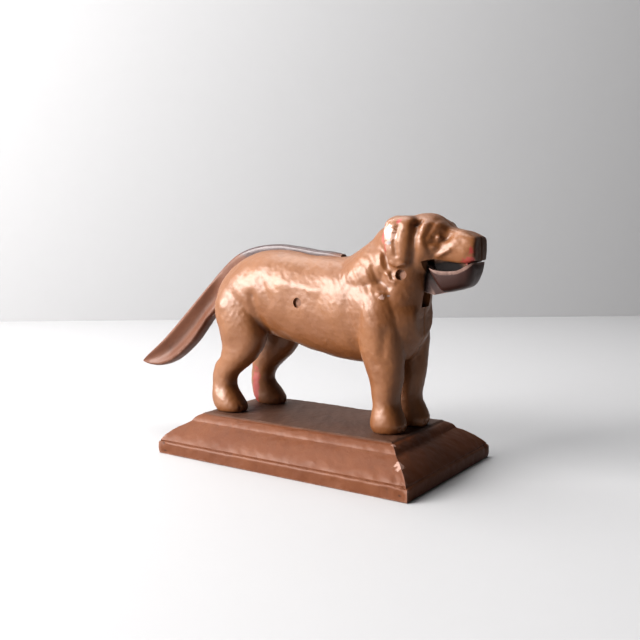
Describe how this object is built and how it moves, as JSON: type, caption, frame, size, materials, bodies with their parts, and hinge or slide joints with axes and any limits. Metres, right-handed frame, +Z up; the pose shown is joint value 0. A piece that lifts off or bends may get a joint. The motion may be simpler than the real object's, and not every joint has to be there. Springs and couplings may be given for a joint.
{
  "type": "dog nutcracker",
  "caption": "Cast iron nutcracker shaped as a standing dog on a moulded plinth; lifting the tail, one lever with the lower jaw, opens the mouth.",
  "frame": {"origin": "on the surface the object stands on, under the middle of its overall length, tail down", "axes": "+X the way the dog faces, +Y to its left, +Z up"},
  "size_m": [0.2504, 0.1, 0.1426],
  "materials": {
    "plinth_paint": "worn bronze-brown paint on cast iron, darker and rougher on the deck",
    "coat_paint": "semi-gloss bronze-brown paint over red primer on lumpy cast iron",
    "lever_paint": "thin dark purple-brown paint, rubbed to bare iron",
    "pin_iron": "dull oxidised steel, painted over",
    "screw_steel": "dull oxidised steel"
  },
  "bodies": {
    "dog": {"plinth": "plinth_paint", "body_half_right": "coat_paint", "body_half_left": "coat_paint", "jaw_pin": "pin_iron", "tie_pin": "pin_iron", "foot_screw_front_right": "screw_steel", "foot_screw_front_left": "screw_steel", "foot_screw_rear_right": "screw_steel", "foot_screw_rear_left": "screw_steel"},
    "lever": {"nut_lever": "lever_paint"}
  },
  "joints": [
    {"name": "tail_lift", "type": "hinge", "parent": "dog", "child": "lever", "pos_m": [0.08645, 0, 0.1102], "axis": [0, 1, 0], "range_deg": [0, 25]}
  ]
}
